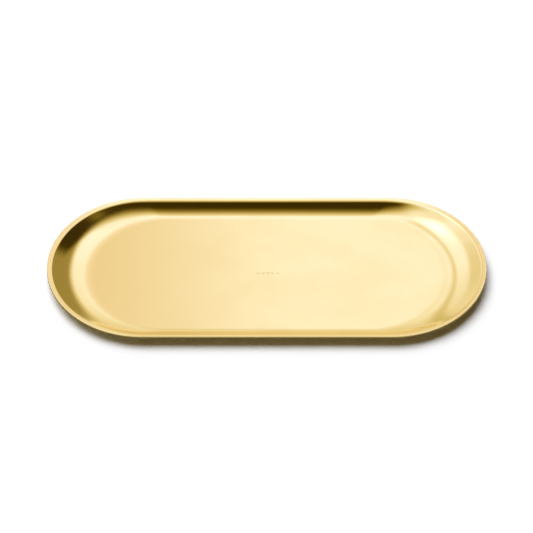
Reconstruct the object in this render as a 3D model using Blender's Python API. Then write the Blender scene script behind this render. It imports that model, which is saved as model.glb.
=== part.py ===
"""Brass tray: one sheet of brass, pressed into a shallow dish with straight sides and round ends.

The sheet runs from a flat floor through a wide soft curve into a sloping wall, and rolls outward
at the top into a nearly flat lip. The wall is short and steep along the sides, long and gentle at
the ends. Every line of the form (floor edge, foot, top of the wall, rim) is an outline with two
straight sides and two half-round ends, and the sheet is lofted through those lines.

Frame: +X along the tray, +Z up, origin under the middle of the floor on the plane it stands on.
Lengths are in millimetres and become metres where the mesh is made.
"""

import math

import bmesh
import bpy
from mathutils import Vector

MM = 0.001

# Driving dimensions
LENGTH = 300.0  # over the rim's upper edge, end to end
WIDTH = 132.0  # over the rim's upper edge, side to side
DEPTH = 7.2  # from the top of the floor to the top of the rim
SHEET = 1.5  # thickness of the brass

# How far in from the rim each line of the form lies: (at the ends, at the sides)
FLOOR_INSET = (32.0, 14.5)  # where the flat floor begins to curve up
FOOT_INSET = (20.0, 10.8)  # where the wall's slope, carried down, would meet the floor
TOP_INSET = (3.2, 2.2)  # where the wall's slope, carried up, would meet the lip

LIP_RISE = 0.4  # how much the lip still climbs towards the rim
FOOT_SHARE = (0.6, 0.8)  # how much of the wall the curve at its foot takes up, in the same order
ROLL_RADIUS = 8.0  # of the outward roll between wall and lip

# Fineness of the mesh
END_STEPS = 36  # around each half-round end
SIDE_STEPS = 4  # along each straight side
FOOT_STEPS = 8  # up the curve at the wall's foot
ROLL_STEPS = 6  # over the outward roll

BRASS_COLOUR = (0.88, 0.69, 0.33, 1.0)
BRASS_ROUGHNESS = 0.22
SMOOTH_BELOW = math.radians(40)


def clear_scene():
    for item in list(bpy.data.objects):
        bpy.data.objects.remove(item, do_unlink=True)


def brass():
    material = bpy.data.materials.new("brass")
    material.use_nodes = True
    shader = material.node_tree.nodes["Principled BSDF"]
    shader.inputs["Base Color"].default_value = BRASS_COLOUR
    shader.inputs["Metallic"].default_value = 1.0
    shader.inputs["Roughness"].default_value = BRASS_ROUGHNESS
    return material


def stations():
    """Places round the tray, anticlockwise: a share of the way out to an end, and the outward direction."""
    places = []
    for end in (1, -1):
        for i in range(END_STEPS):
            angle = math.pi * (i / END_STEPS - 0.5)
            places.append((end, Vector((end * math.cos(angle), end * math.sin(angle), 0))))
        for i in range(SIDE_STEPS):
            places.append((end * (1 - 2 * i / SIDE_STEPS), Vector((0, end, 0))))
    return places


def on_outline(place, inset, height):
    """The point at one place on the outline that lies inset (at the ends, at the sides) from the rim."""
    share, outward = place
    inset_end, inset_side = inset
    radius = WIDTH / 2 - inset_side
    centre = LENGTH / 2 - inset_end - radius
    return Vector((share * centre, 0, height)) + outward * radius


def curve(start, corner, end, steps):
    """Points of the smooth curve that leaves start and arrives at end, with both legs meeting at corner."""
    points = []
    for i in range(steps + 1):
        t = i / steps
        points.append(start * (1 - t) ** 2 + corner * (2 * t * (1 - t)) + end * t**2)
    return points


def section(place):
    """The sheet's upper face at one place round the tray, from the floor's edge out to the rim."""
    floor_edge = on_outline(place, FLOOR_INSET, SHEET)
    foot = on_outline(place, FOOT_INSET, SHEET)
    top = on_outline(place, TOP_INSET, SHEET + DEPTH - LIP_RISE)
    rim = on_outline(place, (0, 0), SHEET + DEPTH)

    outward = place[1]
    slope = Vector(((top - foot).dot(outward), top.z - foot.z))
    lip = Vector(((rim - top).dot(outward), rim.z - top.z))
    roll_length = ROLL_RADIUS * math.tan(slope.angle(lip) / 2)
    end_share, side_share = FOOT_SHARE
    foot_end = foot.lerp(top, side_share + (end_share - side_share) * outward.x**2)
    roll_start = top.lerp(foot, roll_length / slope.length)
    roll_end = top.lerp(rim, roll_length / lip.length)
    rising = curve(floor_edge, foot, foot_end, FOOT_STEPS)
    rolling = curve(roll_start, top, roll_end, ROLL_STEPS)
    return rising + rolling + [rim]


def tray_mesh():
    """The upper face of the sheet: the flat floor and the band that climbs from it to the rim."""
    form = bmesh.new()
    grid = [[form.verts.new(point * MM) for point in section(place)] for place in stations()]
    for here, after in zip(grid, grid[1:] + grid[:1]):
        for i in range(len(here) - 1):
            form.faces.new((here[i], here[i + 1], after[i + 1], after[i]))
    form.faces.new([points[0] for points in grid])
    mesh = bpy.data.meshes.new("tray")
    form.to_mesh(mesh)
    form.free()
    return mesh


def tray():
    """The whole tray. The sheet's thickness lies below its upper face."""
    body = bpy.data.objects.new("tray", tray_mesh())
    bpy.context.scene.collection.objects.link(body)
    body.data.materials.append(brass())
    body.data.shade_smooth()
    body.data.set_sharp_from_angle(angle=SMOOTH_BELOW)

    thickness = body.modifiers.new("sheet", "SOLIDIFY")
    thickness.thickness = SHEET * MM
    thickness.offset = -1.0
    thickness.use_even_offset = True
    return body


clear_scene()
tray()
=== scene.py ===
"""Looks of the brass tray: a fine version of the pressed sheet, its polish, and a plain white studio.

Lengths are in millimetres where they belong to the design and become metres where meshes are made.
"""

import math

import bmesh
import bpy
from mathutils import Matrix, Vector


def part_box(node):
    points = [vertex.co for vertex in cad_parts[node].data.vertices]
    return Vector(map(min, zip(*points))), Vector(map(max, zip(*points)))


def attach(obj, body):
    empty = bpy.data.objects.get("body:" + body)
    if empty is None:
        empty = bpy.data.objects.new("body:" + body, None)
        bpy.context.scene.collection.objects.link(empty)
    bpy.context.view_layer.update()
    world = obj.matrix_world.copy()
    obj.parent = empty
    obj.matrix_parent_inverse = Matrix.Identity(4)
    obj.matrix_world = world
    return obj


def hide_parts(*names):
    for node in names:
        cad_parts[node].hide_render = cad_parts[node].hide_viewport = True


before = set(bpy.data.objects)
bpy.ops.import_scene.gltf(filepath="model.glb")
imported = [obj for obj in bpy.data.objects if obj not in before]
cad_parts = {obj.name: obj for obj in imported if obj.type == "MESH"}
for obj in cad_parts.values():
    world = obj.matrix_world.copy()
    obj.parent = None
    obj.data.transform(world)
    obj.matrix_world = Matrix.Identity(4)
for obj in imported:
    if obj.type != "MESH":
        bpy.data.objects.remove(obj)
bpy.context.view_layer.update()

MM = 0.001

# The height comes from the frame. The rest is the section of the sheet: how far in from the rim each
# line of the form lies (at the ends, at the sides), and the curves between them.
TRAY_LOW, TRAY_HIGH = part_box("tray")
LENGTH = 300.0
WIDTH = 132.0
HEIGHT = (TRAY_HIGH.z - TRAY_LOW.z) / MM
SHEET = 1.5
DEPTH = HEIGHT - SHEET
FLOOR_INSET = (32.0, 14.5)
FOOT_INSET = (20.0, 10.8)
TOP_INSET = (3.2, 2.2)
LIP_RISE = 0.4
FOOT_SHARE = (0.6, 0.8)
ROLL_RADIUS = 8.0
EDGE_ROUND = 0.15  # how far the cut edge of the sheet is eased
EDGE_STEPS = 3
EDGE_SHARPER_THAN = math.radians(60)

# Ornament punched into the middle of the floor: a bar, a row of lozenges, a bar
MARK_CENTRE = 0.7
MARK_PITCH = 3.0
LOZENGES = 3
LOZENGE = (2.2, 3.0)  # (along the tray, across it)
BAR = (2.6, 0.6)
MARK_DEPTH = 0.1

# Fineness of the mesh
END_STEPS = 120  # around each half-round end
SIDE_STEPS = 24  # along each straight side
FOOT_STEPS = 20  # up the curve at the wall's foot
ROLL_STEPS = 14  # over the outward roll
SMOOTH_BELOW = math.radians(40)

BRASS = (0.92, 0.78, 0.42, 1.0)
BRASS_HAZE = (0.86, 0.71, 0.34, 1.0)  # where handling has dulled it a little
BRASS_DEEP = (0.79, 0.59, 0.24, 1.0)  # deeper, for painted shade: the floor towards its left end, the lip at both ends
BRASS_CUT_SHADE = (0.17, 0.12, 0.02, 1.0)  # the sheared edge, painted dark as painted shade for the shadowed table it mirrors
BRASS_BACK = (0.45, 0.34, 0.15, 1.0)  # the underside, which isn't polished
POLISHED, SATIN, DULL = 0.08, 0.15, 0.38  # roughness

# Wear, from noise: features per metre along each axis, detail and roughness of the noise
CLOUD, CLOUD_RANGE = ((22, 34, 34), 4.0), (0.38, 0.68)
LINES = ((14, 900, 300), 2.0)
SCRATCHES, SCRATCHES_RANGE = ((34, 1700, 500), 4.0, 0.6), (0.60, 0.72)
SPECKS, SPECKS_RANGE = ((420, 420, 420), 2.0), (0.66, 0.74)

# How much each of them counts
HAZE_SHARES = (0.45, 0.25, 0.15)  # cloud, specks, rim
SATIN_SHARES = (0.35, 0.35, 0.4)  # cloud, lines, scratches
RELIEF_SHARES = (0.6, -0.4)  # lines, scratches
RELIEF_STRENGTH = 0.25
RELIEF_HEIGHT = 0.004

# Where each finish lies
CUT_DULL_AND_SHADE_RANGE = (0.15, 0.42)  # of the upright part of the surface's normal, either way up; there the cut edge is duller and painted dark as painted shade
UNDER_RANGE = (-0.6, -0.3)  # of the same, with its sign
MARK_ALONG, MARK_ACROSS = (11.0, 12.0), (1.7, 1.9)  # from the middle
RIM_RANGE = (0.30, 0.02)  # below the top
LEVEL_RANGE = (0.02, 0.5)  # above the floor
FLOOR_SHADE_SPAN = (9.0, -114.0)  # along the floor, from its own tone to the deeper one: painted shade, darker towards the left end
# the lip at the ends, painted darker as painted shade: from the middle, and below the top
LIP_SHADE_ALONG, LIP_SHADE_BELOW = (100.0, 140.0), (1.0, 0.3)
LIP_SHADE_TONE = 0.8
STRUCK_TONE, STRUCK_DULL = 0.4, 0.3

# Table, in metres
TABLE_WHITE = (0.90, 0.93, 0.97, 1.0)
TABLE_RADIUS = 40.0
TABLE_SIDES = 64
TABLE_GAP = 0.0001  # between it and the tray

# Camera, in metres and in pixels of the frame
ELEVATION = math.radians(45.9)
DISTANCE = 2.8
PIXELS = 533
PIXELS_PER_METRE = 1464.5
SENSOR = 36.0
AIM = Vector((-0.0002, 0.0, -0.0004))  # from the middle of the rim
FAR = 100.0


# ---------------------------------------------------------------- form of the tray


def stations():
    """Places round the tray, anticlockwise: (share of the way out to an end, outward direction)."""
    places = []
    for end in (1, -1):
        for i in range(END_STEPS):
            angle = math.pi * (i / END_STEPS - 0.5)
            places.append((end, Vector((end * math.cos(angle), end * math.sin(angle), 0))))
        for i in range(SIDE_STEPS):
            places.append((end * (1 - 2 * i / SIDE_STEPS), Vector((0, end, 0))))
    return places


def on_outline(place, inset, height):
    """The point at one place on the outline that lies inset (at ends, at sides) from the rim."""
    share, outward = place
    inset_end, inset_side = inset
    radius = WIDTH / 2 - inset_side
    centre = LENGTH / 2 - inset_end - radius
    return Vector((share * centre, 0, height)) + outward * radius


def curve(start, corner, end, steps):
    """Points of the smooth curve from start to end, with both legs meeting at corner."""
    points = []
    for i in range(steps + 1):
        t = i / steps
        points.append(start * (1 - t) ** 2 + corner * (2 * t * (1 - t)) + end * t**2)
    return points


def section(place):
    """The sheet's upper face at one place round the tray, from the floor's edge out to the rim."""
    floor_edge = on_outline(place, FLOOR_INSET, SHEET)
    foot = on_outline(place, FOOT_INSET, SHEET)
    top = on_outline(place, TOP_INSET, SHEET + DEPTH - LIP_RISE)
    rim = on_outline(place, (0, 0), SHEET + DEPTH)

    outward = place[1]
    slope = Vector(((top - foot).dot(outward), top.z - foot.z))
    lip = Vector(((rim - top).dot(outward), rim.z - top.z))
    roll_length = ROLL_RADIUS * math.tan(slope.angle(lip) / 2)
    end_share, side_share = FOOT_SHARE
    foot_end = foot.lerp(top, side_share + (end_share - side_share) * outward.x**2)
    roll_start = top.lerp(foot, roll_length / slope.length)
    roll_end = top.lerp(rim, roll_length / lip.length)
    rising = curve(floor_edge, foot, foot_end, FOOT_STEPS)
    rolling = curve(roll_start, top, roll_end, ROLL_STEPS)
    return rising + rolling + [rim]


def punch(corners):
    """A solid that cuts one shape of the ornament, given its corners in millimetres, anticlockwise."""
    form = bmesh.new()
    bottom = SHEET - MARK_DEPTH
    outline = form.faces.new([form.verts.new(Vector((x, y, bottom)) * MM) for x, y in corners])
    form.normal_update()
    raised = bmesh.ops.extrude_face_region(form, geom=[outline])["geom"]
    tops = [item for item in raised if isinstance(item, bmesh.types.BMVert)]
    bmesh.ops.translate(form, verts=tops, vec=(0, 0, 2 * MARK_DEPTH * MM))
    bmesh.ops.recalc_face_normals(form, faces=form.faces)
    return form


def mark():
    """The punches of the ornament, as one object that the sheet is cut with."""
    reach = (LOZENGES + 1) * MARK_PITCH / 2
    shapes = []
    for i in range(LOZENGES):
        x = MARK_CENTRE + (i - (LOZENGES - 1) / 2) * MARK_PITCH
        long, high = LOZENGE[0] / 2, LOZENGE[1] / 2
        shapes.append([(x - long, 0), (x, -high), (x + long, 0), (x, high)])
    for side in (-1, 1):
        x = MARK_CENTRE + side * (reach + BAR[0] / 4)
        long, high = BAR[0] / 2, BAR[1] / 2
        shapes.append([(x - long, -high), (x + long, -high), (x + long, high), (x - long, high)])

    mesh = bpy.data.meshes.new("mark")
    whole = bmesh.new()
    for corners in shapes:
        form = punch(corners)
        form.to_mesh(mesh)
        form.free()
        whole.from_mesh(mesh)
    whole.to_mesh(mesh)
    whole.free()
    cutter = bpy.data.objects.new("mark", mesh)
    bpy.context.scene.collection.objects.link(cutter)
    return cutter


def tray_sheet():
    """The whole sheet: its upper face, thickened downwards, its edge eased and the ornament cut in."""
    form = bmesh.new()
    grid = [[form.verts.new(point * MM) for point in section(place)] for place in stations()]
    for here, after in zip(grid, grid[1:] + grid[:1]):
        for i in range(len(here) - 1):
            form.faces.new((here[i], here[i + 1], after[i + 1], after[i]))
    form.faces.new([points[0] for points in grid])
    mesh = bpy.data.meshes.new("pressing")
    form.to_mesh(mesh)
    form.free()
    mesh.shade_smooth()

    pressing = bpy.data.objects.new("pressing", mesh)
    bpy.context.scene.collection.objects.link(pressing)
    thickness = pressing.modifiers.new("sheet", "SOLIDIFY")
    thickness.thickness = SHEET * MM
    thickness.offset = -1.0
    thickness.use_even_offset = True
    eased = pressing.modifiers.new("eased_edge", "BEVEL")
    eased.width = EDGE_ROUND * MM
    eased.segments = EDGE_STEPS
    eased.limit_method = "ANGLE"
    eased.angle_limit = EDGE_SHARPER_THAN
    cutter = mark()
    struck = pressing.modifiers.new("mark", "BOOLEAN")
    struck.object = cutter
    struck.operation = "DIFFERENCE"

    evaluated = pressing.evaluated_get(bpy.context.evaluated_depsgraph_get())
    final = bpy.data.meshes.new_from_object(evaluated)
    final.name = "tray_sheet"
    final.set_sharp_from_angle(angle=SMOOTH_BELOW)
    bpy.data.objects.remove(pressing, do_unlink=True)
    bpy.data.objects.remove(cutter, do_unlink=True)
    piece = bpy.data.objects.new("tray_sheet", final)
    bpy.context.scene.collection.objects.link(piece)
    return piece


# ---------------------------------------------------------------- node helpers


def put(tree, socket, value):
    if isinstance(value, bpy.types.NodeSocket):
        tree.links.new(value, socket)
    else:
        socket.default_value = value


def maths(tree, operation, first, second=0.0):
    node = tree.nodes.new("ShaderNodeMath")
    node.operation = operation
    put(tree, node.inputs[0], first)
    put(tree, node.inputs[1], second)
    return node.outputs[0]


def weighed(tree, values, shares):
    """The sum of the values, each times its share."""
    total = 0.0
    for value, share in zip(values, shares):
        total = maths(tree, "ADD", maths(tree, "MULTIPLY", value, share), total)
    return total


def past(tree, value, start):
    """How far value has gone past start, and 0 before it."""
    return maths(tree, "MAXIMUM", maths(tree, "SUBTRACT", value, start), 0.0)


def ease(tree, value, start, end, low=0.0, high=1.0):
    """low before start, high after end, and a smooth ramp between."""
    node = tree.nodes.new("ShaderNodeMapRange")
    node.interpolation_type = "SMOOTHSTEP"
    put(tree, node.inputs["Value"], value)
    put(tree, node.inputs["From Min"], start)
    put(tree, node.inputs["From Max"], end)
    put(tree, node.inputs["To Min"], low)
    put(tree, node.inputs["To Max"], high)
    return node.outputs["Result"]


def band(tree, rising, rise, falling, fall):
    """1 where rising has passed rise and falling hasn't reached fall, 0 outside, with smooth ramps."""
    return maths(tree, "MULTIPLY", ease(tree, rising, *rise), ease(tree, falling, *fall, 1.0, 0.0))


def blend(tree, factor, first, second):
    """The colour or value first where factor is 0, second where it is 1."""
    node = tree.nodes.new("ShaderNodeMix")
    node.data_type = "RGBA" if isinstance(second, tuple) else "FLOAT"
    kind = "_Color" if node.data_type == "RGBA" else "_Float"
    ins = {socket.identifier: socket for socket in node.inputs}
    put(tree, ins["Factor_Float"], factor)
    put(tree, ins["A" + kind], first)
    put(tree, ins["B" + kind], second)
    return next(socket for socket in node.outputs if socket.identifier == "Result" + kind)


def noise(tree, place, scale, detail, roughness=0.5):
    """Noise with its own scale along each axis, in features per metre."""
    stretched = tree.nodes.new("ShaderNodeMapping")
    stretched.inputs["Scale"].default_value = scale
    tree.links.new(place, stretched.inputs["Vector"])
    node = tree.nodes.new("ShaderNodeTexNoise")
    node.inputs["Scale"].default_value = 1.0
    node.inputs["Detail"].default_value = detail
    node.inputs["Roughness"].default_value = roughness
    tree.links.new(stretched.outputs[0], node.inputs["Vector"])
    return node.outputs["Fac"]


def mix_shaders(tree, factor, first, second):
    node = tree.nodes.new("ShaderNodeMixShader")
    tree.links.new(factor, node.inputs[0])
    tree.links.new(first.outputs[0], node.inputs[1])
    tree.links.new(second.outputs[0], node.inputs[2])
    return node


# ---------------------------------------------------------------- materials


def brass_material():
    """Polished brass with fine lengthwise satin lines, handling haze and a duller cut edge and back,
    with painted shade on the cut edge, on the floor towards its left end and on the lip at both ends.
    """
    material = bpy.data.materials.new("polished_brass")
    material.use_nodes = True
    tree = material.node_tree
    shader = tree.nodes["Principled BSDF"]
    shader.inputs["Metallic"].default_value = 1.0
    coords = tree.nodes.new("ShaderNodeTexCoord")
    place = coords.outputs["Object"]
    facing = tree.nodes.new("ShaderNodeSeparateXYZ")
    tree.links.new(coords.outputs["Normal"], facing.inputs[0])
    at = tree.nodes.new("ShaderNodeSeparateXYZ")
    tree.links.new(place, at.inputs[0])
    x, y, z = (maths(tree, "DIVIDE", at.outputs[axis], MM) for axis in "XYZ")
    along, off = maths(tree, "ABSOLUTE", x), maths(tree, "ABSOLUTE", y)
    above = maths(tree, "SUBTRACT", z, SHEET)
    below = maths(tree, "SUBTRACT", HEIGHT, z)

    cloud = ease(tree, noise(tree, place, *CLOUD), *CLOUD_RANGE)
    lines = noise(tree, place, *LINES)
    scratches = ease(tree, noise(tree, place, *SCRATCHES), *SCRATCHES_RANGE)
    specks = ease(tree, noise(tree, place, *SPECKS), *SPECKS_RANGE)

    # each is 1 in its own part of the sheet
    # the cut edge: duller, and painted dark as painted shade
    cut_dull_and_shade = ease(tree, maths(tree, "ABSOLUTE", facing.outputs["Z"]), *CUT_DULL_AND_SHADE_RANGE, 1.0, 0.0)
    under = ease(tree, facing.outputs["Z"], *UNDER_RANGE, 1.0, 0.0)
    struck = maths(tree, "MULTIPLY", ease(tree, along, *MARK_ALONG, 1.0, 0.0),
                   ease(tree, off, *MARK_ACROSS, 1.0, 0.0))
    struck = maths(tree, "MULTIPLY", struck, ease(tree, above, -MARK_DEPTH, 0.0, 1.0, 0.0))
    rim = ease(tree, below, *RIM_RANGE)
    # painted shade: the lip at both ends painted darker
    lip_painted_shade = maths(tree, "MULTIPLY", ease(tree, along, *LIP_SHADE_ALONG), ease(tree, below, *LIP_SHADE_BELOW))
    level = ease(tree, above, *LEVEL_RANGE, 1.0, 0.0)
    # painted shade: the floor painted darker towards its left end
    leftward = tree.nodes.new("ShaderNodeMapRange")
    leftward.inputs["From Min"].default_value, leftward.inputs["From Max"].default_value = FLOOR_SHADE_SPAN
    tree.links.new(x, leftward.inputs["Value"])
    floor_painted_shade = maths(tree, "MULTIPLY", leftward.outputs["Result"], level)

    colour = blend(tree, weighed(tree, (cloud, specks, rim), HAZE_SHARES), BRASS, BRASS_HAZE)
    colour = blend(tree, floor_painted_shade, colour, BRASS_DEEP)
    colour = blend(tree, maths(tree, "MULTIPLY", lip_painted_shade, LIP_SHADE_TONE), colour, BRASS_DEEP)
    colour = blend(tree, maths(tree, "MULTIPLY", struck, STRUCK_TONE), colour, BRASS_DEEP)
    colour = blend(tree, under, colour, BRASS_BACK)
    colour = blend(tree, cut_dull_and_shade, colour, BRASS_CUT_SHADE)
    tree.links.new(colour, shader.inputs["Base Color"])

    satin = weighed(tree, (cloud, lines, scratches), SATIN_SHARES)
    roughness = blend(tree, satin, POLISHED, SATIN)
    dull = maths(tree, "MAXIMUM", cut_dull_and_shade, under)
    dull = maths(tree, "MAXIMUM", dull, maths(tree, "MULTIPLY", struck, STRUCK_DULL))
    tree.links.new(blend(tree, dull, roughness, DULL), shader.inputs["Roughness"])

    bump = tree.nodes.new("ShaderNodeBump")
    bump.inputs["Strength"].default_value = RELIEF_STRENGTH
    bump.inputs["Distance"].default_value = RELIEF_HEIGHT * MM
    tree.links.new(weighed(tree, (lines, scratches), RELIEF_SHARES), bump.inputs["Height"])
    tree.links.new(bump.outputs["Normal"], shader.inputs["Normal"])
    return material


def floor_material():
    material = bpy.data.materials.new("white_table")
    material.use_nodes = True
    shader = material.node_tree.nodes["Principled BSDF"]
    shader.inputs["Base Color"].default_value = TABLE_WHITE
    shader.inputs["Roughness"].default_value = 1.0
    shader.inputs["Specular IOR Level"].default_value = 0.0
    return material


# ---------------------------------------------------------------- studio

# Soft panels round the tray, by the direction in which they lie, in degrees. "over" runs from 0 at the
# horizon behind it through 90 overhead to 180 at the horizon in front; "across" runs from -90 at the
# left to 90 at the right. "reach" is over and grows towards the sides, which slants the panels' front
# edges back there; "lean" and "drift" are across and shift below SIDES_BELOW, which slants their left
# and right edges.
# (over: fades in), (reach: fades out), (lean: fades in), (drift: fades out), brightness
PANELS = (
    ((-40, -30), (88, 118), (-40, -26), (19, 26), 0.53),
    ((0, 66), (89, 117), (-40, -26), (19, 26), 0.39),
    ((56, 72), (80, 94), (-28, -21), (-17, -13), 0.65),
    ((80, 96), (116, 135), (-60, -45), (-18, -9), 0.40),
    ((-40, -30), (83, 95), (-90, -89), (89, 90), 0.26),
    ((78, 88), (150, 160), (22, 26), (40, 45), 0.14),
)
# A wide panel further round on the left: (over: fades in), (over: fades out), (across: fades out)
LEFT_PANEL = ((-40, -20), (60, 95), (-41, -36), 0.75)
# A faint glow low in front: (over: fades in), (over: fades out)
FRONT_GLOW = ((140, 150), (215, 220), 0.04)
SHADE = 0.028  # everywhere

REACH_SLANT = (0.32, 0.95)  # (left, right)
CORNER_SLANT, CORNER_FROM = 0.7, 14  # added further right
LEAN_SLANT, DRIFT_SLANT = -0.2, 0.21
SIDES_BELOW = 60

# Dimmer strips between the panels: (across: fades in), (across: fades out), (over: fades out), depth
GAPS = (
    ((-6.0, -3.0), (-2.0, 0.5), (60, 78), 0.06),
    ((-14.5, -11.0), (-11.0, -7.0), (68, 78), 0.30),
)

# The colour of the light at each brightness: dim parts are warm, bright parts nearly white
TINTS = (
    (0.0, (0.00, 0.00, 0.00)),
    (0.05, (0.08, 0.048, 0.002)),
    (0.12, (0.17, 0.12, 0.012)),
    (0.25, (0.33, 0.25, 0.065)),
    (0.60, (0.72, 0.60, 0.30)),
    (0.83, (0.93, 0.83, 0.62)),
    (1.02, (1.06, 1.02, 1.00)),
    (1.20, (1.20, 1.20, 1.45)),
)
TINT_RANGE = 1.20

# A wide lamp high behind the tray on the left, which lights the table and isn't mirrored in the brass
LAMP_FROM = Vector((-0.28, 0.25, 0.92))
LAMP_SPREAD = math.radians(50)
LAMP_STRENGTH = 2.35

# Soft cards in front on both sides, which only the brass mirrors, in metres:
# direction, (width, height), brightness
CARDS = (
    (Vector((0.60, -0.70, 0.38)), (6.0, 2.8), 0.9),
    (Vector((-0.60, -0.75, 0.45)), (2.4, 2.6), 0.7),
)
CARD_DISTANCE = 4.0
CARD_COLOUR = (1.0, 0.90, 0.68)


def studio_world():
    """The panels' light, and the plain white that the camera sees behind the table."""
    world = bpy.data.worlds.new("studio")
    bpy.context.scene.world = world
    world.use_nodes = True
    tree = world.node_tree
    tree.nodes.clear()
    place = tree.nodes.new("ShaderNodeTexCoord")
    parts = tree.nodes.new("ShaderNodeSeparateXYZ")
    tree.links.new(place.outputs["Generated"], parts.inputs[0])
    x, y, z = parts.outputs
    over = maths(tree, "DEGREES", maths(tree, "ARCTAN2", z, y))
    across = maths(tree, "DEGREES", maths(tree, "ARCSINE", x))
    outwards = (past(tree, 0.0, across), past(tree, across, 0.0), past(tree, across, CORNER_FROM))
    reach = maths(tree, "ADD", over, weighed(tree, outwards, (*REACH_SLANT, CORNER_SLANT)))
    below = past(tree, SIDES_BELOW, over)
    lean = maths(tree, "ADD", across, maths(tree, "MULTIPLY", below, LEAN_SLANT))
    drift = maths(tree, "ADD", across, maths(tree, "MULTIPLY", below, DRIFT_SLANT))

    lit, levels = [], []
    for over_in, reach_out, lean_in, drift_out, level in PANELS:
        upwards = band(tree, over, over_in, reach, reach_out)
        sideways = band(tree, lean, lean_in, drift, drift_out)
        lit.append(maths(tree, "MULTIPLY", upwards, sideways))
        levels.append(level)
    over_in, over_out, across_out, level = LEFT_PANEL
    upwards = band(tree, over, over_in, over, over_out)
    lit.append(maths(tree, "MULTIPLY", upwards, ease(tree, across, *across_out, 1.0, 0.0)))
    levels.append(level)
    over_in, over_out, level = FRONT_GLOW
    lit.append(band(tree, over, over_in, over, over_out))
    levels.append(level)
    total = maths(tree, "ADD", weighed(tree, lit, levels), SHADE)
    for across_in, across_out, over_out, depth in GAPS:
        gap = band(tree, across, across_in, across, across_out)
        gap = maths(tree, "MULTIPLY", gap, ease(tree, over, *over_out, depth, 0.0))
        total = maths(tree, "MULTIPLY", total, maths(tree, "SUBTRACT", 1.0, gap))

    ramp = tree.nodes.new("ShaderNodeValToRGB")
    tree.links.new(maths(tree, "DIVIDE", total, TINT_RANGE), ramp.inputs[0])
    stops = ramp.color_ramp.elements
    while len(stops) < len(TINTS):
        stops.new(1.0)
    for stop, (at, tint) in zip(stops, TINTS):
        stop.position = at / TINT_RANGE
        stop.color = (*tint, 1.0)
    # brighter than the last tint, the colour stays and only the strength grows
    strength = maths(tree, "MAXIMUM", maths(tree, "DIVIDE", total, TINT_RANGE), 1.0)
    light = tree.nodes.new("ShaderNodeBackground")
    tree.links.new(ramp.outputs["Color"], light.inputs["Color"])
    tree.links.new(strength, light.inputs["Strength"])

    backdrop = tree.nodes.new("ShaderNodeBackground")
    backdrop.inputs["Color"].default_value = (1, 1, 1, 1)
    ray = tree.nodes.new("ShaderNodeLightPath")
    seen = mix_shaders(tree, ray.outputs["Is Camera Ray"], light, backdrop)
    out = tree.nodes.new("ShaderNodeOutputWorld")
    tree.links.new(seen.outputs[0], out.inputs[0])


def lamp():
    data = bpy.data.lights.new("lamp", "SUN")
    data.energy = LAMP_STRENGTH
    data.angle = LAMP_SPREAD
    source = bpy.data.objects.new("lamp", data)
    bpy.context.scene.collection.objects.link(source)
    source.rotation_mode = "QUATERNION"
    source.rotation_quaternion = LAMP_FROM.to_track_quat("Z", "Y")
    source.visible_glossy = False


def cards():
    for i, (toward, (width, height), level) in enumerate(CARDS):
        data = bpy.data.lights.new(f"card_{i}", "AREA")
        data.shape = "RECTANGLE"
        data.size, data.size_y = width, height
        data.color = CARD_COLOUR
        data.energy = level * math.pi * width * height
        card = bpy.data.objects.new(f"card_{i}", data)
        bpy.context.scene.collection.objects.link(card)
        card.location = toward.normalized() * CARD_DISTANCE
        card.rotation_mode = "QUATERNION"
        card.rotation_quaternion = toward.to_track_quat("Z", "Y")
        card.visible_camera = False
        card.visible_diffuse = False


def table():
    mesh = bpy.data.meshes.new("table")
    form = bmesh.new()
    bmesh.ops.create_circle(form, cap_ends=True, segments=TABLE_SIDES, radius=TABLE_RADIUS)
    form.to_mesh(mesh)
    form.free()
    floor = bpy.data.objects.new("table", mesh)
    floor.location.z = TRAY_LOW.z - TABLE_GAP
    bpy.context.scene.collection.objects.link(floor)
    mesh.materials.append(floor_material())


def camera():
    data = bpy.data.cameras.new("camera")
    data.sensor_width = SENSOR
    data.lens = PIXELS_PER_METRE * DISTANCE * SENSOR / PIXELS
    data.clip_end = FAR
    view = bpy.data.objects.new("camera", data)
    bpy.context.scene.collection.objects.link(view)
    back = Vector((0, -math.cos(ELEVATION), math.sin(ELEVATION)))
    view.location = Vector((0, 0, TRAY_HIGH.z)) + AIM + back * DISTANCE
    view.rotation_mode = "QUATERNION"
    view.rotation_quaternion = (-back).to_track_quat("-Z", "Y")
    bpy.context.scene.camera = view


tray = tray_sheet()
tray.data.materials.append(brass_material())
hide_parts("tray")
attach(tray, "root")
table()
studio_world()
lamp()
cards()
camera()
bpy.context.scene.view_settings.view_transform = "Standard"
